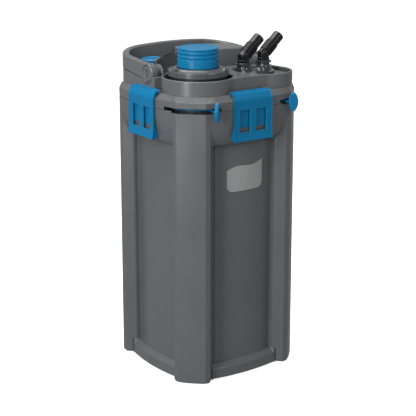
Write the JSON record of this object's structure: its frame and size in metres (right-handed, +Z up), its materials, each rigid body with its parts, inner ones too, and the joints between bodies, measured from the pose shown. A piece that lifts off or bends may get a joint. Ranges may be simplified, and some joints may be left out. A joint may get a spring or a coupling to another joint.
{
  "type": "aquarium canister filter",
  "caption": "Tall square external aquarium filter with a pump head, carry handle, swing latches, a drop-in prefilter column and swivelling hose elbows.",
  "frame": {"origin": "on the floor under the container's upright axis, at the centre of the base", "axes": "+Z up along the container, -Y out of the front side with the badge, +X to the right seen from the front"},
  "size_m": [0.2864, 0.2879, 0.59],
  "materials": {
    "body_grey": "satin moulded grey",
    "head_grey": "satin moulded grey",
    "dark_plastic": "satin dark grey",
    "gloss_black": "glossy black",
    "blue_plastic": "satin blue",
    "badge_grey": "satin light grey",
    "rubber": "matte black",
    "foam": "open-cell filter foam",
    "basket_grey": "satin light grey",
    "steel": "stainless steel",
    "ceramic": "polished ceramic"
  },
  "bodies": {
    "container": {"container": "body_grey", "foot_front_left": "rubber", "foot_front_right": "rubber", "foot_back_left": "rubber", "foot_back_right": "rubber", "name_badge": "badge_grey", "basket_1": "basket_grey", "basket_2": "basket_grey", "basket_3": "basket_grey", "basket_4": "basket_grey", "media_1": "foam", "media_2": "foam", "media_3": "foam", "media_4": "foam"},
    "head": {"head_cover": "head_grey", "head_base": "dark_plastic", "head_seal": "rubber", "motor_housing": "dark_plastic", "impeller_shaft": "ceramic", "upper_bush": "rubber", "lower_bush": "rubber", "pump_cover": "dark_plastic", "primer_spring": "steel", "cord_gland": "rubber", "cover_screw_1": "steel", "cover_screw_2": "steel", "cover_screw_3": "steel", "cover_screw_4": "steel"},
    "latch_front_body": {"latch_front": "blue_plastic", "latch_hook_front": "blue_plastic", "latch_pin_front": "steel"},
    "latch_right_body": {"latch_right": "blue_plastic", "latch_hook_right": "blue_plastic", "latch_pin_right": "steel"},
    "latch_back_body": {"latch_back": "blue_plastic", "latch_hook_back": "blue_plastic", "latch_pin_back": "steel"},
    "latch_left_body": {"latch_left": "blue_plastic", "latch_hook_left": "blue_plastic", "latch_pin_left": "steel"},
    "handle": {"carry_handle": "body_grey", "pivot_cap_left": "body_grey", "pivot_cap_right": "body_grey"},
    "prefilter": {"prefilter_lid": "dark_plastic", "prefilter_seal": "rubber", "prefilter_cage": "dark_plastic", "prefilter_foam_1": "foam", "prefilter_foam_2": "foam", "prefilter_foam_3": "foam"},
    "ring": {"lock_ring": "dark_plastic"},
    "plug": {"heater_blank_plug": "blue_plastic", "plug_seal": "rubber"},
    "hose_block": {"hose_adapter": "gloss_black", "adapter_seal": "rubber"},
    "left_elbow": {"elbow_left": "gloss_black"},
    "right_elbow": {"elbow_right": "gloss_black"},
    "prefilter_lever_body": {"prefilter_lever": "blue_plastic"},
    "hose_lever_body": {"hose_lever": "blue_plastic"},
    "primer": {"primer_button": "blue_plastic"},
    "impeller_body": {"impeller": "basket_grey"}
  },
  "joints": [
    {"name": "head_lift", "type": "slide", "parent": "container", "child": "head", "axis": [0, 0, 1], "range_m": [0, 0.5]},
    {"name": "latch_front_swing", "type": "hinge", "parent": "head", "child": "latch_front_body", "pos_m": [0, -0.1216, 0.5066], "axis": [-1, 0, 0], "range_deg": [0, 100]},
    {"name": "latch_right_swing", "type": "hinge", "parent": "head", "child": "latch_right_body", "pos_m": [0.1216, 0, 0.5066], "axis": [0, -1, 0], "range_deg": [0, 100]},
    {"name": "latch_back_swing", "type": "hinge", "parent": "head", "child": "latch_back_body", "pos_m": [0, 0.1216, 0.5066], "axis": [1, 0, 0], "range_deg": [0, 100]},
    {"name": "latch_left_swing", "type": "hinge", "parent": "head", "child": "latch_left_body", "pos_m": [-0.1216, 0, 0.5066], "axis": [0, 1, 0], "range_deg": [0, 100]},
    {"name": "handle_swing", "type": "hinge", "parent": "head", "child": "handle", "pos_m": [0, 0.003, 0.53], "axis": [1, 0, 0], "range_deg": [0, 80]},
    {"name": "prefilter_lift", "type": "slide", "parent": "head", "child": "prefilter", "axis": [0, 0, 1], "range_m": [0, 0.5]},
    {"name": "lock_ring_turn", "type": "hinge", "parent": "prefilter", "child": "ring", "pos_m": [-0.058, -0.058, 0.53], "axis": [0, 0, 1], "range_deg": [-30, 0]},
    {"name": "plug_lift", "type": "slide", "parent": "prefilter", "child": "plug", "axis": [0, 0, 1], "range_m": [0, 0.06]},
    {"name": "hose_block_lift", "type": "slide", "parent": "head", "child": "hose_block", "axis": [0, 0, 1], "range_m": [0, 0.06]},
    {"name": "left_elbow_swivel", "type": "hinge", "parent": "hose_block", "child": "left_elbow", "pos_m": [0.0345, -0.06, 0.5433], "axis": [0, 0, 1], "range_deg": [-100, 100]},
    {"name": "right_elbow_swivel", "type": "hinge", "parent": "hose_block", "child": "right_elbow", "pos_m": [0.0805, -0.0555, 0.5433], "axis": [0, 0, 1], "range_deg": [-100, 100]},
    {"name": "prefilter_lever_turn", "type": "hinge", "parent": "head", "child": "prefilter_lever_body", "pos_m": [-0.058, -0.058, 0.481], "axis": [0, 0, 1], "range_deg": [-46, 0]},
    {"name": "hose_lever_turn", "type": "hinge", "parent": "head", "child": "hose_lever_body", "pos_m": [0.058, -0.058, 0.481], "axis": [0, 0, 1], "range_deg": [0, 40]},
    {"name": "primer_press", "type": "slide", "parent": "head", "child": "primer", "axis": [0, 0, -1], "range_m": [0, 0.012], "stiffness_N_per_m": 400, "springref_m": -0.003, "deforming": ["primer_spring"]},
    {"name": "impeller_spin", "type": "hinge", "parent": "head", "child": "impeller_body", "pos_m": [0.066, 0.073, 0.48], "axis": [0, 0, 1], "continuous": true}
  ]
}
